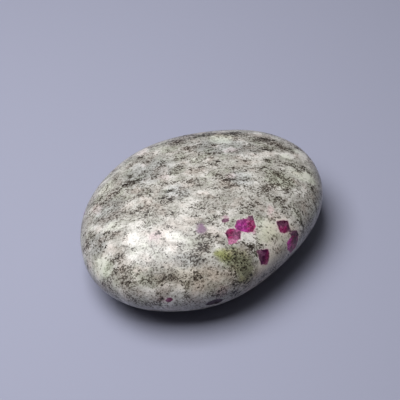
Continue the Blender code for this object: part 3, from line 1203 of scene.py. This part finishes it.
def tinted(nodes, surface, layered, frayed, halo, shape, lilac):
    """The rock's colour with its warm and cool layers, the placed tints and the fringes. The cool and
    warm tints also hold painted shade on the upper left, the back and the low right rim.
    """
    hue = nodes.noise(layered, HUE_LAYER, 1.5, label="warm and cool layers")
    warm = nodes.fade(hue, *WARM_FADE)
    cool = nodes.fade(hue, *COOL_FADE)
    surface = nodes.blend(warm, surface, WARM_LAYER, "MULTIPLY", "warm")
    surface = nodes.blend(cool, surface, COOL_LAYER, "MULTIPLY", "cool")
    for tint in TINTS:
        cover = patch_cover(nodes, tint.name, tint.patches, frayed, shape)
        surface = nodes.blend(cover, surface, tint.colour, "MULTIPLY", tint.name)
    cloud = patch_cover(nodes, "lilac cloud", (LILAC,), frayed, shape)
    surface = nodes.blend(cloud, surface, lilac, label="lilac cloud")
    fringe = nodes.fade(halo, *FRINGE_FADE)
    return nodes.blend(fringe, surface, RUBY_FRINGE, "MULTIPLY", "fringe of the rubies")


def ruby_colour(nodes, place, colour_at, milk):
    """The rubies' colour with their bent facets, some of them milky, and their flaws."""
    facets = nodes.cells(nodes.drift(place, *BENT_FACETS, label="bent facets"), FACET)
    facet_random = nodes.parts(facets.outputs["Color"])
    milky = nodes.fade(facet_random[1], *MILK_FADE)
    colour_at = nodes.blend(milky, colour_at, milk, label="milky facets")
    spark = nodes.noise(place, FLAW, 3.0, 0.6, label="flaws inside the rubies")
    spark = nodes.fade(spark, *FLAW_FADE, smooth=False)
    spark = nodes.math("MULTIPLY", spark, nodes.fade(facet_random[0], *FACET_FADE))
    return nodes.blend(1.0, colour_at, spark, "MULTIPLY", "facets")


def put_polish(nodes, shader, place, tone, chip, colours):
    """Gloss, duller on mica and in the chip, and relief: a faint ripple and fine pits."""
    mica_share = nodes.fade(tone, *MICA_FADE)
    rough = nodes.math("MULTIPLY_ADD", mica_share, colours.dullness, colours.polish)
    rough = nodes.math("MULTIPLY_ADD", chip, CHIP_ROUGHNESS, rough)
    nodes.put(shader.inputs["Roughness"], rough)
    shader.inputs["IOR"].default_value = ROCK_IOR
    ripple = nodes.noise(place, RIPPLE, 2.0, label="polishing ripple")
    pits = nodes.noise(place, PIT, 1.0, label="fine pits")
    bump = nodes.add("ShaderNodeBump", "relief")
    nodes.put(bump.inputs["Height"], nodes.math("MULTIPLY_ADD", pits, PIT_SHARE, ripple))
    bump.inputs["Strength"].default_value = RELIEF_STRENGTH
    bump.inputs["Distance"].default_value = RELIEF * MM
    nodes.put(shader.inputs["Normal"], bump.outputs["Normal"])


def rock_material(shape, colours):
    """The whole rock: grains, layers, lenses, mica, tints and rubies, and its polish."""
    material = bpy.data.materials.new("ruby_in_albite")
    material.use_nodes = True
    shader = material.node_tree.nodes["Principled BSDF"]
    nodes = RockNodes(material.node_tree)
    grains = rock_grains(nodes)
    layered, *layers = rock_layers(nodes, grains)
    frayed, pale, dark = placed_patches(nodes, grains, shape)
    tone = rock_tone(nodes, grains, layers, pale, dark)

    # Rubies, with halos of pale albite round them
    ragged = nodes.drift(grains.place, *RAGGED_EDGES, 2.0, "ragged crystal edges")
    gem_cover, gem_colour, halo = nodes.group(ruby_group(shape, colours), ragged)
    tone = nodes.math("MULTIPLY_ADD", halo, HALO_LIFT, tone)

    stops = [(level, tuple(getattr(colours, name))) for name, level in TONES.items()]
    surface = nodes.ramp(tone, stops, "tone to rock")
    surface = tinted(nodes, surface, layered, frayed, halo, shape, tuple(colours.lilac))
    gem_colour = ruby_colour(nodes, grains.place, gem_colour, tuple(colours.milk))
    surface = nodes.blend(gem_cover, surface, gem_colour, label="rubies")
    # The chip is multiplied by a dark purple grey: painted shade in the recess, on rock left rough by the
    # break
    chip = nodes.add("ShaderNodeAttribute", "chip", attribute_name=CHIP_ATTRIBUTE).outputs["Fac"]
    chip_shade = tuple(colours.chip_shade)
    surface = nodes.blend(chip, surface, chip_shade, "MULTIPLY", label="painted shade in the chip")
    nodes.put(shader.inputs["Base Color"], surface)
    put_polish(nodes, shader, grains.place, tone, chip, colours)
    return material


class PEBBLE_OT_make_stone(bpy.types.Operator):
    """Build the polished pebble"""

    bl_idname = "pebble.make_stone"
    bl_label = "Stone"
    bl_options = {"REGISTER", "UNDO"}

    def execute(self, context):
        shape = context.scene.pebble_shape
        stone = link("polished_stone", stone_mesh(shape))
        stone.data.materials.append(rock_material(shape, context.scene.pebble_colours))
        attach(stone, "root")
        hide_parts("stone")
        return {"FINISHED"}


def make_camera():
    place, forward, right, up = camera_axes()
    data = bpy.data.cameras.new("camera")
    data.sensor_width = SENSOR_WIDTH
    data.lens = FOCAL_PIXELS / PICTURE_WIDTH * SENSOR_WIDTH
    data.clip_start = 0.01
    camera = link("camera", data)
    turn = Matrix((right, up, -forward)).transposed()
    camera.matrix_world = Matrix.Translation(place) @ turn.to_4x4()
    bpy.context.scene.camera = camera


def make_floor(stage):
    half = FLOOR_HALF_SIZE
    corners = [(-half, -half, 0.0), (half, -half, 0.0), (half, half, 0.0), (-half, half, 0.0)]
    floor = link("floor", build_mesh("floor", corners, [(0, 1, 2, 3)]))
    material = bpy.data.materials.new("floor")
    material.use_nodes = True
    shader = material.node_tree.nodes["Principled BSDF"]
    shader.inputs["Base Color"].default_value = (*stage.floor, 1.0)
    shader.inputs["Roughness"].default_value = FLOOR_ROUGHNESS
    floor.data.materials.append(material)


def make_lamp(name, energy, width, height, toward, distance):
    """A soft rectangular light that faces the origin from a direction in the camera's plan."""
    lamp = bpy.data.lights.new(name, "AREA")
    lamp.shape = "RECTANGLE"
    lamp.energy = energy
    lamp.size = width
    lamp.size_y = height
    made = link(name, lamp)
    toward = Vector(toward).normalized()
    toward.rotate(Matrix.Rotation(math.radians(CAMERA_TURN), 3, "Z"))
    made.location = toward * distance
    made.rotation_euler = toward.to_track_quat("Z", "Y").to_euler()


def make_window(stage):
    width = stage.window_width
    height = stage.window_height
    make_lamp("window", stage.window_power, width, height, WINDOW_SIDE, stage.window_distance)


def make_ceiling(stage):
    size = stage.ceiling_size
    make_lamp("ceiling", stage.ceiling_power, size, size, CEILING_SIDE, stage.ceiling_distance)


def make_room(stage):
    world = bpy.data.worlds.new("room")
    world.use_nodes = True
    background = world.node_tree.nodes["Background"]
    background.inputs["Strength"].default_value = stage.room_light
    background.inputs["Color"].default_value = (1.0, 1.0, 1.0, 1.0)
    bpy.context.scene.world = world


class PEBBLE_OT_make_stage(bpy.types.Operator):
    """Build the floor, the lights and the camera"""

    bl_idname = "pebble.make_stage"
    bl_label = "Stage"
    bl_options = {"REGISTER", "UNDO"}

    def execute(self, context):
        stage = context.scene.pebble_stage
        make_camera()
        make_floor(stage)
        make_window(stage)
        make_ceiling(stage)
        make_room(stage)
        context.scene.view_settings.view_transform = "Standard"
        return {"FINISHED"}


class PEBBLE_PT_panel(bpy.types.Panel):
    """Lists the pebble's sizes, its colours and the steps that build it"""

    bl_idname = "PEBBLE_PT_panel"
    bl_label = "Ruby in Albite Pebble"
    bl_space_type = "VIEW_3D"
    bl_region_type = "UI"
    bl_category = "Pebble"

    def draw(self, context):
        layout = self.layout
        for title, group, operator in (
            ("Stage", context.scene.pebble_stage, PEBBLE_OT_make_stage),
            ("Shape", context.scene.pebble_shape, None),
            ("Colours", context.scene.pebble_colours, PEBBLE_OT_make_stone),
        ):
            box = layout.box()
            box.label(text=title)
            for name in group.__annotations__:
                box.prop(group, name)
            if operator is not None:
                box.operator(operator.bl_idname)


CLASSES = (
    PebbleShape,
    PebbleColours,
    PebbleStage,
    PEBBLE_OT_make_stone,
    PEBBLE_OT_make_stage,
    PEBBLE_PT_panel,
)


def register():
    for each in CLASSES:
        bpy.utils.register_class(each)
    bpy.types.Scene.pebble_shape = bpy.props.PointerProperty(type=PebbleShape)
    bpy.types.Scene.pebble_colours = bpy.props.PointerProperty(type=PebbleColours)
    bpy.types.Scene.pebble_stage = bpy.props.PointerProperty(type=PebbleStage)


def unregister():
    del bpy.types.Scene.pebble_stage
    del bpy.types.Scene.pebble_colours
    del bpy.types.Scene.pebble_shape
    for each in reversed(CLASSES):
        bpy.utils.unregister_class(each)


def main():
    register()
    bpy.ops.pebble.make_stage()
    bpy.ops.pebble.make_stone()


if __name__ == "__main__":
    main()
